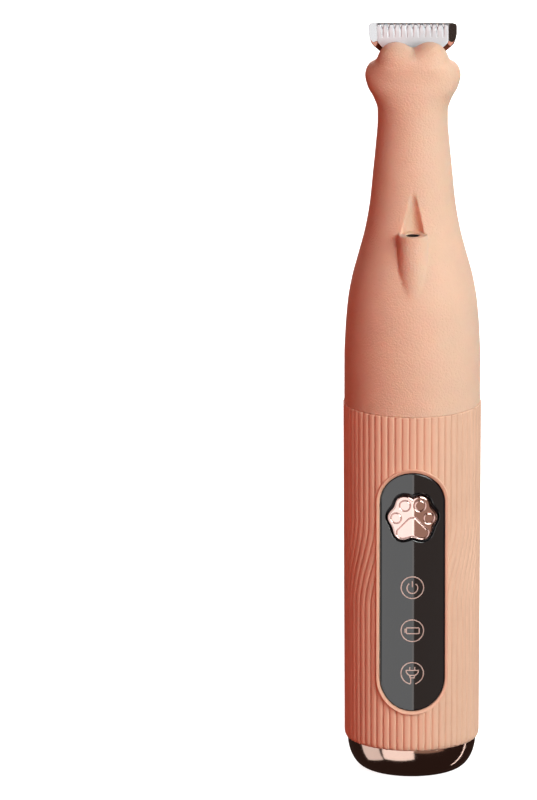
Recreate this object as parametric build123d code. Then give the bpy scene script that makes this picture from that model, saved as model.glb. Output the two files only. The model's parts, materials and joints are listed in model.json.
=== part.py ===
from build123d import *
import math
import os

# Slim cordless pet trimmer. Units: millimetres.
# Origin: centre of the flat base. +Z runs along the body to the blade.
# The control panel, the button and the work light face -Y. The blade is wide along X.

# ---- driving dimensions ----------------------------------------------------
CAP_SHOULDER_Z = 6.5          # where the end cap meets the sleeve
CHASSIS_Z = (9.0, 84.0)
SEAM_Z = 77.8                 # where the sleeve meets the upper housing
HEAD_TOP_Z = 149.5            # flat seat of the blade head
BLADE_TOP_Z = 157.2

BODY_R = 14.0                 # upper housing
BASE_R = 9.2                  # flat of the end cap
CAP_R = 13.2                  # end cap at its shoulder
SLEEVE_BORE_R = 12.3
CHASSIS_R = 12.2
CHASSIS_BORE_R = 11.0
NECK_R = 7.1
WALL = 1.5

RIB_COUNT = 58
RIB_DEPTH = 0.35
RIB_TWIST_DEG = 17.0          # how far the ribs turn between the two heights below
RIB_TWIST_Z = (36.0, 55.0)
SLEEVE_FOOT_R = 13.87
SLEEVE_HEAD_R = 14.2

PANEL_WIDTH = 13.3
PANEL_Z = (15.3, 66.0)
PANEL_MID_Z = sum(PANEL_Z) / 2
PANEL_HEIGHT = PANEL_Z[1] - PANEL_Z[0]
PANEL_R = 14.1
PANEL_BACK_R = 12.9
PANEL_GAP = 0.1
LIP_WIDTH = 0.75
LIP_R = 14.4

BUTTON_Z = 56.6
BUTTON_R = 14.65
BUTTON_GAP = 0.35
BUTTON_LOBES = [(1.6, 2.75, 2.0), (3.4, -0.1, 1.75), (2.05, -2.95, 1.85)]   # x, z, radius
BUTTON_TOES = [(1.5, 2.6, 1.12), (3.3, -0.1, 1.07)]
ENGRAVING = (0.18, 0.12)      # width and depth
FLANGE_R = (11.6, 12.75)
ICON_Z = (41.7, 32.5, 23.4)
ICON_R = 2.4
ICON_LINE = 0.28
ICON_HEIGHT = 0.04

BOARD_Y = (-7.6, -6.6)
BOARD_HALF_WIDTH = 7.0
BOARD_Z = (12.0, 68.0)
CELL_R = 7.1
CELL_Y = 1.2
CELL_Z = (14.0, 63.0)

MOTOR_R = 6.0
MOTOR_Z = (86.3, 104.5)
SHAFT_R = 0.75
RUNNING_GAP = 0.03
FRAME_FLOOR_Z = (84.0, 86.0)
FRAME_PLATE_Z = (104.5, 106.0)
FRAME_TUBE_R = (6.1, 7.3)
FRAME_SCREW_AT = 6.7
MOTOR_SCREW_X = 3.9

CRANK_OFFSET = 0.65           # throw of the eccentric
CRANK_R = 0.8
CRANK_Z = (109.5, 113.6)
LEVER_PIVOT_Z = 126.0
LEVER_FORK_Z = 112.0
LEVER_FINGER_Z = 147.2
LEVER_SWING_DEG = 2.7
LEVER_PIN_R = 1.0
LEVER_HALF_Y = 1.3

LIGHT_LEDGE_Z = 115.6
LIGHT_Y = -9.7
LIGHT_HOLE_R = 1.5
HOOD_R = 3.1
HOOD_Y = -9.6
GROOVE_TOP_Z = 123.8
GROOVE_HALF_WIDTH = 2.35

CUTTER_Y = (2.1, 2.95)
COMB_Y = (3.0, 3.8)
CARRIER_Y = (3.8, 5.0)
BLADE_SCREW_X = 3.1
BLADE_SCREW_Z = 152.2
HEAD_SLOT_X = 4.2
HEAD_SLOT_Y = (0.3, 5.1)
HEAD_SLOT_FLOOR_Z = 138.2
BLADE_HALF_WIDTH = 9.05
CUTTER_HALF_WIDTH = 7.2
TOOTH_PITCH = 1.2

# Outer radius of the housing from the straight grip to the wrist: (radius, height).
NECK_OUTLINE = [
    (BODY_R, 87.0),
    (13.3, 99.2),
    (11.95, 106.0),
    (10.0, 112.8),
    (8.45, 123.0),
    (7.5, 133.0),
    (NECK_R, 140.0),
]
# Half width, half depth and height of the head's cross-sections.
PAW_SECTIONS = [
    (6.2, 6.2, 136.0),
    (8.3, 7.4, 142.8),
    (9.8, 6.7, 147.0),
    (9.2, 6.5, 148.4),
    (8.3, 6.3, HEAD_TOP_Z),
]


# ---- small helpers ---------------------------------------------------------
def block(x, y, z):
    """Box between two corners; each argument is a (low, high) pair."""
    size = [pair[1] - pair[0] for pair in (x, y, z)]
    centre = [(pair[0] + pair[1]) / 2 for pair in (x, y, z)]
    return Pos(*centre) * Box(*size)


def rod(radius, low, high, x=0.0, y=0.0):
    """Upright cylinder."""
    return Pos(x, y, (low + high) / 2) * Cylinder(radius, high - low)


def rod_y(radius, low, high, x=0.0, z=0.0):
    """Cylinder along Y."""
    return Pos(x, (low + high) / 2, z) * Rot(90, 0, 0) * Cylinder(radius, high - low)


def tube(outer, inner, low, high):
    return rod(outer, low, high) - rod(inner, low - 1, high + 1)


def prism_y(sketch, low, high):
    """Prism of an X-Z sketch between two Y values."""
    return Pos(0, high, 0) * extrude(Plane.XZ * sketch, amount=high - low)


def slot_shape(width, height, middle_z):
    return Pos(0, middle_z) * SlotOverall(height, width, rotation=90)


def turned(profile):
    """Solid of revolution about Z of an (r, z) face."""
    return revolve(Plane.XZ * profile, Axis.Z)


def wire_run(points, radius, bend):
    """Round wire through the points, with its corners bent to one radius."""
    path = FilletPolyline(*points, radius=bend)
    start = Plane(origin=path @ 0, z_dir=path % 0)
    return sweep(start * Circle(radius), path=path)


def screw(head_r, head_h, shank_r, length):
    """Pan-head screw along -Z, with its seat at the origin and a cross recess."""
    body = rod(head_r, 0, head_h) + rod(shank_r, -length, 0)
    body = fillet(body.edges().sort_by(Axis.Z)[-1], head_h * 0.4)
    cross = Box(head_r * 1.1, 0.3, head_h) + Box(0.3, head_r * 1.1, head_h)
    return body - Pos(0, 0, head_h) * cross


# ---- outer shells ----------------------------------------------------------
def neck_solid(inset, low, high):
    """The bottle shape, made smaller all round by inset, between two heights."""
    outline = [(radius - inset, z) for radius, z in NECK_OUTLINE]
    edge = Spline(*outline, tangents=[(0, 1), (-0.02, 1)])
    foot = Polyline((0, low), (outline[0][0], low), outline[0])
    top = Polyline(outline[-1], (outline[-1][0], high), (0, high), (0, low))
    return turned(make_face(foot + edge + top))


def paw_head():
    """Wrist that swells into the side toes, with the two front toes on top."""
    palm = loft([Plane.XY.offset(z) * Ellipse(half_x, half_y) for half_x, half_y, z in PAW_SECTIONS])
    toe = Pos(3.4, -2.5, 151.1) * Sphere(3.7)
    return palm + toe + mirror(toe, Plane.YZ)


def light_groove(grow):
    """Tapered scoop above the work light."""
    low = Plane(origin=(0, LIGHT_Y - 0.2, LIGHT_LEDGE_Z)) * Circle(GROOVE_HALF_WIDTH + grow)
    high = Plane(origin=(0, -8.9, GROOVE_TOP_Z)) * Circle(0.15 + grow)
    return loft([low, high])


def head_housing():
    outer = neck_solid(0, SEAM_Z, 141.0) + paw_head()
    outer += rod(HOOD_R, 98, LIGHT_LEDGE_Z, y=HOOD_Y)
    inner = neck_solid(WALL, SEAM_Z - 1, 141.0)
    inner += rod(SLEEVE_BORE_R, SEAM_Z - 1, FRAME_FLOOR_Z[1] + 1)
    inner -= light_groove(1.0)
    inner -= rod(HOOD_R - 0.8, 107, LIGHT_LEDGE_Z + 1, y=HOOD_Y)
    head_slot = block((-HEAD_SLOT_X, HEAD_SLOT_X), HEAD_SLOT_Y, (HEAD_SLOT_FLOOR_Z, 160))
    lever_room = block((-3.2, 3.2), (-1.7, HEAD_SLOT_Y[1]), (HEAD_SLOT_FLOOR_Z, HEAD_TOP_Z - 0.8))
    shell = outer - inner - light_groove(0) - head_slot - lever_room
    behind_lobes = block((-20, 20), (HEAD_SLOT_Y[0], 20), (HEAD_TOP_Z, 160))
    shell -= behind_lobes
    shell -= rod(LIGHT_HOLE_R, 104, 118, y=LIGHT_Y)
    return shell


def rib_ring(z, crest, depth, turn_deg):
    """Closed ring of rounded ribs at one height."""
    step = 2 * math.pi / RIB_COUNT
    valley = crest - depth
    arcs = []
    for index in range(RIB_COUNT):
        angles = [math.radians(turn_deg) + step * (index + part) for part in (0, 0.5, 1)]
        radii = (valley, crest, valley)
        points = [(r * math.cos(a), r * math.sin(a), z) for r, a in zip(radii, angles)]
        arcs.append(ThreePointArc(*points))
    return Face(Wire(arcs))


def rib_turn(z):
    """Twist of the ribs at a height, eased in and out."""
    low, high = RIB_TWIST_Z
    part = min(max((high - z) / (high - low), 0), 1)
    return -RIB_TWIST_DEG * part * part * (3 - 2 * part)


def sleeve_crest(z):
    part = (z - 7.8) / (SEAM_Z - 7.8)
    return SLEEVE_FOOT_R + (SLEEVE_HEAD_R - SLEEVE_FOOT_R) * part


def grip_sleeve():
    twist_steps = 6
    low, high = RIB_TWIST_Z
    heights = [7.8] + [low + (high - low) * k / twist_steps for k in range(twist_steps + 1)] + [SEAM_Z]
    rings = [rib_ring(CAP_SHOULDER_Z, CAP_R + 0.15, 0.1, rib_turn(0))]
    rings += [rib_ring(z, sleeve_crest(z), RIB_DEPTH, rib_turn(z)) for z in heights]
    sleeve = loft(rings, ruled=True)
    sleeve -= rod(SLEEVE_BORE_R, 0, 100)
    lip_shape = slot_shape(PANEL_WIDTH + 2 * LIP_WIDTH, PANEL_HEIGHT + 2 * LIP_WIDTH, PANEL_MID_Z)
    window_shape = slot_shape(PANEL_WIDTH + 2 * PANEL_GAP, PANEL_HEIGHT + 2 * PANEL_GAP, PANEL_MID_Z)
    lip = prism_y(lip_shape, -20, 0) - prism_y(window_shape, -20, 0)
    lip &= tube(LIP_R, SLEEVE_BORE_R, 10, 72)
    return sleeve - prism_y(lip_shape, -20, 0) + lip


def end_cap():
    inner_r = CAP_R - 2.0
    floor_z = 1.8
    flat_r = 8.8
    shoulder = CAP_SHOULDER_Z
    outer = EllipticalCenterArc((BASE_R, shoulder), CAP_R - BASE_R, shoulder, 270, arc_size=90)
    inner = EllipticalCenterArc((flat_r, shoulder), inner_r - flat_r, shoulder - floor_z, 270, arc_size=90)
    floor = Polyline((0, floor_z), (0, 0), (BASE_R, 0))
    rim = Polyline(
        (CAP_R, CAP_SHOULDER_Z),
        (CHASSIS_R, CAP_SHOULDER_Z),
        (CHASSIS_R, CHASSIS_Z[0]),
        (inner_r, CHASSIS_Z[0]),
        (inner_r, CAP_SHOULDER_Z),
    )
    cap = turned(make_face(floor + outer + rim + inner + Line((flat_r, floor_z), (0, floor_z))))
    cap -= tube(CHASSIS_R + 1, 11.7, 7.4, 8.2)
    port = Pos(0, 0, 1) * extrude(SlotOverall(9.3, 3.6), amount=4, both=True)
    return cap - port


# ---- inner clamshell -------------------------------------------------------
def chassis_tube():
    shell = tube(CHASSIS_R, CHASSIS_BORE_R, *CHASSIS_Z)
    shell -= tube(CHASSIS_R + 1, 11.6, 79.6, 80.6)
    for z in (12.6, 24.0, 52.0, 64.0):
        rib = rod(CHASSIS_BORE_R + 0.2, z, z + 1.2)
        if CELL_Z[0] < z < CELL_Z[1]:
            rib -= rod(CELL_R + 0.1, z - 1, z + 3, y=CELL_Y)
        else:
            rib -= rod(4.0, z - 1, z + 3, y=CELL_Y)
        rib -= block((-20, 20), (-20, -5.7), (z - 1, z + 3))
        rib -= block((-6, 6), (CELL_Y + CELL_R - 1.5, 20), (z - 1, z + 3))
        shell += rib
    return shell


def screw_boss(x, y, low, high):
    return rod(1.9, low, high, x, y) & rod(CHASSIS_R - 0.3, low, high)


def front_chassis():
    half = chassis_tube() & block((-20, 20), (-20, 0), (0, 100))
    half += screw_boss(FRAME_SCREW_AT, -FRAME_SCREW_AT, 74.5, CHASSIS_Z[1])
    half -= rod(1.02, 74, 90, FRAME_SCREW_AT, -FRAME_SCREW_AT)
    half -= prism_y(Pos(0, BUTTON_Z) * RectangleRounded(11.4, 13.2, 2.0), -20, -4)
    for z in ICON_Z:
        half -= rod_y(2.0, -20, -8.2, z=z)
    return half


def rear_chassis():
    half = chassis_tube() & block((-20, 20), (0, 20), (0, 100))
    half += screw_boss(-FRAME_SCREW_AT, FRAME_SCREW_AT, 74.5, CHASSIS_Z[1])
    half -= rod(1.02, 74, 90, -FRAME_SCREW_AT, FRAME_SCREW_AT)
    return half


def chassis_clips():
    """Two spring clips that hold the halves together, one each side."""
    ring = tube(CHASSIS_BORE_R - 0.02, CHASSIS_BORE_R - 0.62, 68.6, 72.6)
    right = ring & block((9, 12), (-3, 3), (60, 80))
    return right + mirror(right, Plane.YZ)


def seal_ring():
    return tube(SLEEVE_BORE_R - 0.02, 11.6, 79.7, 80.5)


def cap_seal():
    return tube(SLEEVE_BORE_R - 0.02, 11.7, 7.5, 8.1)


# ---- control panel ---------------------------------------------------------
def paw_outline(grow):
    """Six-lobed outline of the button."""
    shape = Circle(3.6 + grow)
    for x, z, radius in BUTTON_LOBES:
        for side in (-1, 1):
            shape += Pos(side * x, z) * Circle(radius + grow)
    return Pos(0, BUTTON_Z) * shape


def panel_lens():
    plate = prism_y(slot_shape(PANEL_WIDTH, PANEL_HEIGHT, PANEL_MID_Z), -20, 0)
    plate &= tube(PANEL_R, PANEL_BACK_R, 10, 72)
    return plate - prism_y(paw_outline(BUTTON_GAP), -20, 0)


def panel_gasket():
    outer = slot_shape(PANEL_WIDTH - 0.3, PANEL_HEIGHT - 0.3, PANEL_MID_Z)
    inner = slot_shape(PANEL_WIDTH - 1.9, PANEL_HEIGHT - 1.9, PANEL_MID_Z)
    frame = prism_y(outer, -20, 0) - prism_y(inner, -20, 0)
    return frame & tube(PANEL_BACK_R - 0.02, CHASSIS_R + 0.02, 10, 72)


def ring_shape():
    return Circle(ICON_R) - Circle(ICON_R - ICON_LINE)


def power_glyph():
    """Open circle with a stroke at the top."""
    arc = Circle(1.15) - Circle(1.15 - ICON_LINE) - Pos(0, 1.0) * Rectangle(1.0, 1.2)
    return arc + Pos(0, 0.85) * Rectangle(ICON_LINE, 1.3)


def battery_glyph():
    width, height = 2.7, 1.25
    case = RectangleRounded(width, height, 0.2)
    case -= RectangleRounded(width - 2 * ICON_LINE, height - 2 * ICON_LINE, 0.05)
    return case + Pos(-width / 2 - 0.1, 0) * Rectangle(ICON_LINE, 0.6)


def plug_glyph():
    cup = Circle(1.0) & Pos(0, -0.6) * Rectangle(3, 1.8)
    cup -= Circle(1.0 - ICON_LINE) & Pos(0, -0.6 - ICON_LINE / 2) * Rectangle(3, 1.8 - ICON_LINE)
    cup += Pos(0, 0.16) * Rectangle(2.3, ICON_LINE)
    prongs = Pos(-0.5, 0.7) * Rectangle(ICON_LINE, 0.9) + Pos(0.5, 0.7) * Rectangle(ICON_LINE, 0.9)
    return cup + prongs + Pos(0, -1.6) * Rectangle(ICON_LINE, 1.3)


def indicator_icons():
    glyphs = (power_glyph(), battery_glyph(), plug_glyph())
    film = tube(PANEL_R + ICON_HEIGHT, PANEL_R, 10, 72)
    icons = Part()
    for z, glyph in zip(ICON_Z, glyphs):
        shape = ring_shape()
        if z == ICON_Z[-1]:
            shape -= Pos(0, -ICON_R) * Rectangle(0.9, 0.9)
        icons += prism_y(Pos(0, z) * (shape + glyph), -20, 0) & film
    return icons


def light_guides():
    return Part() + [rod_y(1.8, -12.6, -8.6, z=z) for z in ICON_Z]


def indicator_leds():
    size = 0.8
    led = block((-size, size), (BOARD_Y[0] - 0.8, BOARD_Y[0]), (-0.4, 0.4))
    return Part() + [Pos(0, 0, z) * led for z in ICON_Z]


def main_board():
    board = block((-BOARD_HALF_WIDTH, BOARD_HALF_WIDTH), BOARD_Y, BOARD_Z)
    board = fillet(board.edges().filter_by(Axis.Y), 1.0)
    for z in (BOARD_Z[0] + 2.0, BOARD_Z[1] - 2.0):
        board -= rod_y(0.7, -10, 0, x=4.8, z=z)
    return board


def board_chips():
    chips = block((-2.6, 2.6), (BOARD_Y[0] - 1.1, BOARD_Y[0]), (46.0, 50.0))
    chips += block((3.6, 6.2), (BOARD_Y[0] - 1.0, BOARD_Y[0]), (26.0, 29.0))
    chips += block((-6.0, -3.8), (BOARD_Y[0] - 0.9, BOARD_Y[0]), (35.0, 37.0))
    return chips


def switch_body():
    body = block((-2.6, 2.6), (BOARD_Y[0] - 1.6, BOARD_Y[0]), (BUTTON_Z - 2.6, BUTTON_Z + 2.6))
    return body - rod_y(1.3, -12, BOARD_Y[0] - 0.3, z=BUTTON_Z)


def switch_stem():
    return rod_y(1.15, -10.1, -8.5, z=BUTTON_Z)


def button_plunger():
    flange = prism_y(Pos(0, BUTTON_Z) * RectangleRounded(10.6, 12.0, 2.6), -20, 0)
    flange &= tube(FLANGE_R[1], FLANGE_R[0], 40, 72)
    return flange + rod_y(1.9, -FLANGE_R[0] - 0.1, -10.1, z=BUTTON_Z)


def pad_outline():
    """Large pad of the paw, engraved below its toes."""
    corners = [(0, 0), (3.1, -2.6), (2.4, -4.1), (0, -3.6), (-2.4, -4.1), (-3.1, -2.6)]
    pad = make_face(Polyline(*corners, corners[0]))
    return fillet(pad.vertices(), 0.45)


def paw_button():
    width, depth = ENGRAVING
    body = prism_y(paw_outline(0), -20, 0) & tube(BUTTON_R, FLANGE_R[1], 45, 70)
    pad = pad_outline()
    lines = pad - offset(pad, -width)
    for x, z, radius in BUTTON_TOES:
        ring = Circle(radius) - Circle(radius - width)
        lines += Pos(x, z) * ring + Pos(-x, z) * ring
    groove = prism_y(Pos(0, BUTTON_Z) * lines, -20, 0) & tube(BUTTON_R + 1, BUTTON_R - depth, 45, 70)
    return body - groove


# ---- battery and charging --------------------------------------------------
def battery_cell():
    can = rod(CELL_R, *CELL_Z, y=CELL_Y)
    can = fillet(can.edges(), 0.5)
    return can + rod(2.4, CELL_Z[1], CELL_Z[1] + 0.6, y=CELL_Y)


def battery_tabs():
    top = block((-1.5, 1.5), (CELL_Y - 3, CELL_Y + 3), (CELL_Z[1] + 0.6, CELL_Z[1] + 0.8))
    bottom = block((-1.5, 1.5), (CELL_Y - 3, CELL_Y + 3), (CELL_Z[0] - 0.2, CELL_Z[0]))
    return top + bottom


def battery_pad():
    return block((-3.5, 3.5), (CELL_Y + CELL_R + 0.05, 10.2), (28, 50))


def charge_board():
    return rod(10.4, 7.6, 8.6)


def charge_port_shell():
    outer = extrude(SlotOverall(8.94, 3.26), amount=7.2)
    inner = extrude(SlotOverall(8.34, 2.66), amount=6.8)
    return Pos(0, 0, 0.4) * (outer - inner)


def charge_port_tongue():
    return block((-3.3, 3.3), (-0.35, 0.35), (1.6, 7.2))


# ---- motor and drive -------------------------------------------------------
def motor_can():
    low, high = MOTOR_Z
    can = rod(MOTOR_R, low, high) - rod(MOTOR_R - 0.5, low - 1, high - 0.8)
    can += rod(2.9, high - 0.8, high + 1.2)
    can -= rod(2.2, low, high + 2)
    for side in (-1, 1):
        can -= rod(0.82, high - 2, high + 1, x=side * MOTOR_SCREW_X)
    return can


def motor_magnets():
    low, high = MOTOR_Z
    ring = tube(MOTOR_R - 0.52, 4.7, low + 3.2, high - 2.6)
    return ring - block((-1.6, 1.6), (-10, 10), (low, high))


def motor_end_bell():
    low = MOTOR_Z[0]
    bell = rod(MOTOR_R, low - 1.5, low) + rod(MOTOR_R - 0.52, low, low + 1.2)
    bell -= rod(1.8, low - 3, low + 3)
    for side in (-1, 1):
        bell += block((side * 3.6 - 0.4, side * 3.6 + 0.4), (-1.0, 1.0), (low - 2.9, low - 1.5))
    return bell


def motor_bushes():
    low, high = MOTOR_Z
    bore = SHAFT_R + RUNNING_GAP
    return tube(2.18, bore, high - 1.2, high + 1.2) + tube(1.78, bore, low - 1.3, low + 1.1)


def motor_screws():
    one = screw(1.3, 0.9, 0.78, 2.2)
    seat = FRAME_PLATE_Z[1]
    return Part() + [Pos(side * MOTOR_SCREW_X, 0, seat) * one for side in (-1, 1)]


def motor_shaft():
    return rod(SHAFT_R, MOTOR_Z[0] - 1.2, CRANK_Z[0])


def rotor_core():
    low, high = MOTOR_Z
    core = rod(4.4, low + 4.0, high - 3.4) - rod(SHAFT_R, low, high)
    for k in range(3):
        slot = block((-0.5, 0.5), (2.2, 6.0), (low, high))
        core -= Rot(0, 0, 120 * k) * slot
    return core


def eccentric_cam():
    disc = rod(3.2, CRANK_Z[0] - 1.7, CRANK_Z[0]) - rod(SHAFT_R, 100, CRANK_Z[0])
    return disc + rod(CRANK_R, CRANK_Z[0], CRANK_Z[1], y=-CRANK_OFFSET)


def drive_frame():
    """Motor cradle, side rails and the clevis that holds the lever's pin."""
    floor = rod(CHASSIS_R - 0.1, *FRAME_FLOOR_Z)
    cradle = rod(FRAME_TUBE_R[1], FRAME_FLOOR_Z[1], FRAME_PLATE_Z[1])
    frame = floor + cradle - rod(FRAME_TUBE_R[0], FRAME_FLOOR_Z[0] - 1, FRAME_PLATE_Z[0])
    frame -= rod(3.0, 100, 110)
    frame -= block((-1.8, 1.8), (-20, -8.6), (80, 90))
    rail_x = (5.25, 6.35)
    for side in (-1, 1):
        frame -= rod(0.82, 100, 110, x=side * MOTOR_SCREW_X)
        frame -= rod(1.05, 80, 90, x=side * FRAME_SCREW_AT, y=-side * FRAME_SCREW_AT)
        rail = block(rail_x, (-1.6, 1.6), (FRAME_PLATE_Z[0], 122.0))
        rail += block((3.6, rail_x[1]), (-1.6, 1.6), (120.0, 122.6))
        rail &= rod(NECK_R - 0.7, 100, 130)
        frame += rail if side > 0 else mirror(rail, Plane.YZ)
    for side in (-1, 1):
        cheek_y = (1.45, 3.6) if side > 0 else (-3.6, -1.45)
        frame += block((-4.2, 4.2), cheek_y, (120.0, 129.0))
    return frame - rod_y(LEVER_PIN_R, -10, 10, z=LEVER_PIVOT_Z)


def frame_screws():
    one = screw(1.8, 1.2, 1.0, 9.0)
    seat = FRAME_FLOOR_Z[1]
    places = [(side * FRAME_SCREW_AT, -side * FRAME_SCREW_AT, seat) for side in (-1, 1)]
    return Part() + [Pos(*place) * one for place in places]


def lever_pin():
    return rod_y(LEVER_PIN_R, -3.6, 3.6, z=LEVER_PIVOT_Z)


def drive_lever():
    y = (-LEVER_HALF_Y, LEVER_HALF_Y)
    swing = (LEVER_PIVOT_Z - LEVER_FORK_Z) * math.tan(math.radians(LEVER_SWING_DEG))
    fork_x = CRANK_R + CRANK_OFFSET + swing + 0.15
    lever = block((-1.6, 1.6), y, (116, LEVER_PIVOT_Z)) + rod_y(2.6, *y, z=LEVER_PIVOT_Z)
    lever += block((-1.3, 1.3), y, (LEVER_PIVOT_Z, 144.2))
    lever += block((-fork_x - 1.1, fork_x + 1.1), y, (114.4, 116.8))
    for side in (-1, 1):
        x = sorted((side * fork_x, side * (fork_x + 1.1)))
        lever += block(x, y, (110.2, 115.0))
    lever += block((-0.8, 0.8), (0.5, 1.9), (142.2, LEVER_FINGER_Z + 1.4))
    return lever - rod_y(LEVER_PIN_R + 0.04, -10, 10, z=LEVER_PIVOT_Z)


# ---- work light ------------------------------------------------------------
def spot_led():
    body = rod(1.4, 109.5, 113.6, y=LIGHT_Y) + Pos(0, LIGHT_Y, 113.6) * Sphere(1.4)
    return body & block((-5, 5), (-20, 0), (109.5, 114.95))


# ---- blade head ------------------------------------------------------------
def symmetric_face(points):
    """Face from the right-hand half of an outline, bottom to top."""
    left = [(-x, z) for x, z in reversed(points)]
    return make_face(Polyline(*points, *left, points[0]))


def tooth_gaps(count, pitch, mouth, root, top, depth):
    """Tapered gaps between teeth along the top edge."""
    gap = make_face(
        Polyline(
            (-mouth / 2, top + 0.1),
            (-root / 2, top - depth),
            (root / 2, top - depth),
            (mouth / 2, top + 0.1),
            (-mouth / 2, top + 0.1),
        )
    )
    start = -(count - 1) * pitch / 2
    return Sketch() + [Pos(start + k * pitch, 0) * gap for k in range(count)]


def moving_blade():
    top = BLADE_TOP_Z - 0.35
    half = CUTTER_HALF_WIDTH
    outline = [(2.6, 146.2), (2.6, 149.95), (4.4, 149.95), (half, 153.4), (half, top)]
    face = symmetric_face(outline) - tooth_gaps(11, TOOTH_PITCH, 0.75, 0.3, top, 1.9)
    return prism_y(face, *CUTTER_Y)


def fixed_blade():
    half = BLADE_HALF_WIDTH
    outline = [
        (4.0, 149.8),
        (6.3, 152.0),
        (7.3, 154.1),
        (half - 0.3, 154.1),
        (half, 154.5),
        (half, BLADE_TOP_Z - 1.0),
        (half - 0.3, BLADE_TOP_Z - 0.3),
        (half - 1.0, BLADE_TOP_Z),
    ]
    face = symmetric_face(outline) - tooth_gaps(15, 1.0, 0.36, 0.3, BLADE_TOP_Z, 1.7)
    blade = prism_y(face, *COMB_Y)
    for side in (-1, 1):
        blade -= rod_y(0.72, 0, 10, x=side * BLADE_SCREW_X, z=BLADE_SCREW_Z)
    return blade


def blade_carrier():
    outline = [(4.4, 149.7), (6.1, 150.5), (8.9, 153.9), (8.9, 155.2), (8.3, 155.8)]
    plate = prism_y(symmetric_face(outline), *CARRIER_Y)
    tongue = block((-4.0, 4.0), (3.2, 4.9), (140.7, 149.8))
    tongue = fillet(tongue.edges().filter_by(Axis.Z), 0.6)
    seat = block((-2.5, 2.5), (2.8, 3.4), (141.6, 143.2))
    carrier = plate + tongue + seat
    for side in (-1, 1):
        carrier -= rod_y(0.72, 0, 10, x=side * BLADE_SCREW_X, z=BLADE_SCREW_Z)
    return carrier


def blade_screws():
    one = Rot(-90, 0, 0) * screw(1.25, 0.7, 0.7, CARRIER_Y[1] - COMB_Y[0] - 0.05)
    return Part() + [Pos(side * BLADE_SCREW_X, CARRIER_Y[1], BLADE_SCREW_Z) * one for side in (-1, 1)]


def blade_follower():
    block_y = (0.5, CUTTER_Y[0])
    follower = block((-2.5, 2.5), block_y, (145.0, 149.8))
    return follower - block((-0.95, 0.95), (0, 3), (140, 149.0))


def blade_spring():
    leg = 3.95
    half = [(3.0, 1.85, 150.6), (leg, 1.85, 150.6), (leg, 2.6, 142.4)]
    points = half + [(-x, y, z) for x, y, z in reversed(half)]
    return wire_run(points, 0.18, 0.4)


# ---- wiring ----------------------------------------------------------------
def battery_wires():
    plus = [(1.0, -1.9, 64.3), (1.0, -1.9, 67.4), (1.0, -6.0, 67.4)]
    minus = [(-1.0, -1.9, 13.3), (-1.0, -1.9, 11.2), (-1.0, -7.1, 11.2)]
    return wire_run(plus, 0.45, 1.2) + wire_run(minus, 0.45, 0.8)


def motor_wires():
    wires = Part()
    for side in (-1, 1):
        x = side * 3.6
        path = [(x, -8.2, 67.0), (x, -8.2, 73.0), (x, 0, 77.0), (x, 0, 83.3)]
        wires += wire_run(path, 0.45, 1.6)
    return wires


def light_wires():
    wires = Part()
    for x in (-0.6, 0.6):
        path = [(x, -8.2, 67.0), (x, -10.2, 74.0), (x, -10.2, 98.0)]
        path += [(x, LIGHT_Y, 104.0), (x, LIGHT_Y, 109.5)]
        wires += wire_run(path, 0.4, 2.5)
    return wires


def charge_wires():
    wires = Part()
    for x in (-3.0, 3.0):
        wires += wire_run([(x, -4.0, 8.6), (x, -4.0, 10.4), (x, -7.1, 10.4), (x, -7.1, 12.0)], 0.4, 0.6)
    return wires


# ---- export ----------------------------------------------------------------
PIECES = [
    head_housing,
    grip_sleeve,
    end_cap,
    front_chassis,
    rear_chassis,
    chassis_clips,
    seal_ring,
    cap_seal,
    panel_lens,
    panel_gasket,
    indicator_icons,
    light_guides,
    indicator_leds,
    main_board,
    board_chips,
    switch_body,
    switch_stem,
    button_plunger,
    paw_button,
    battery_cell,
    battery_tabs,
    battery_pad,
    charge_board,
    charge_port_shell,
    charge_port_tongue,
    motor_can,
    motor_magnets,
    motor_end_bell,
    motor_bushes,
    motor_screws,
    motor_shaft,
    rotor_core,
    eccentric_cam,
    drive_frame,
    frame_screws,
    lever_pin,
    drive_lever,
    spot_led,
    moving_blade,
    fixed_blade,
    blade_carrier,
    blade_screws,
    blade_follower,
    blade_spring,
    battery_wires,
    motor_wires,
    light_wires,
    charge_wires,
]


def main():
    os.makedirs("parts", exist_ok=True)
    for piece in PIECES:
        export_step(piece(), f"parts/{piece.__name__}.step")
        print(piece.__name__)


main()
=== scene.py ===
import json
import math
import bpy
import numpy as np
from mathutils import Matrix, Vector


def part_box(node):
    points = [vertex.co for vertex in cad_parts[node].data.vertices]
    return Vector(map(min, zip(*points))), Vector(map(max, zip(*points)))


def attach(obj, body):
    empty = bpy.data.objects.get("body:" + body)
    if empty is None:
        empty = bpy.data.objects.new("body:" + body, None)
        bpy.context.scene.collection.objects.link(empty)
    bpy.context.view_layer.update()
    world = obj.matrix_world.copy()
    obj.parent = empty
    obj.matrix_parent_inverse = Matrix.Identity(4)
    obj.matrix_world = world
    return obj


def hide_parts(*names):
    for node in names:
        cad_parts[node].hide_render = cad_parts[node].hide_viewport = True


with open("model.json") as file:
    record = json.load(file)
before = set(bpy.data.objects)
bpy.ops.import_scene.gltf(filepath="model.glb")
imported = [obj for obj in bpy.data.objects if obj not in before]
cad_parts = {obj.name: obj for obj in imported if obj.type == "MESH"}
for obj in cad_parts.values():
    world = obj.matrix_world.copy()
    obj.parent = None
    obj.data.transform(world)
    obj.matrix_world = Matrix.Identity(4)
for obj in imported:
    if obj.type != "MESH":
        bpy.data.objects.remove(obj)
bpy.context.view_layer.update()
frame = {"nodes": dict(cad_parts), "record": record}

MM = 0.001


def box_mm(node):
    """Lowest and highest corner of a CAD node, in millimetres."""
    low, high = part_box(node)
    return np.array(low) / MM, np.array(high) / MM


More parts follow.
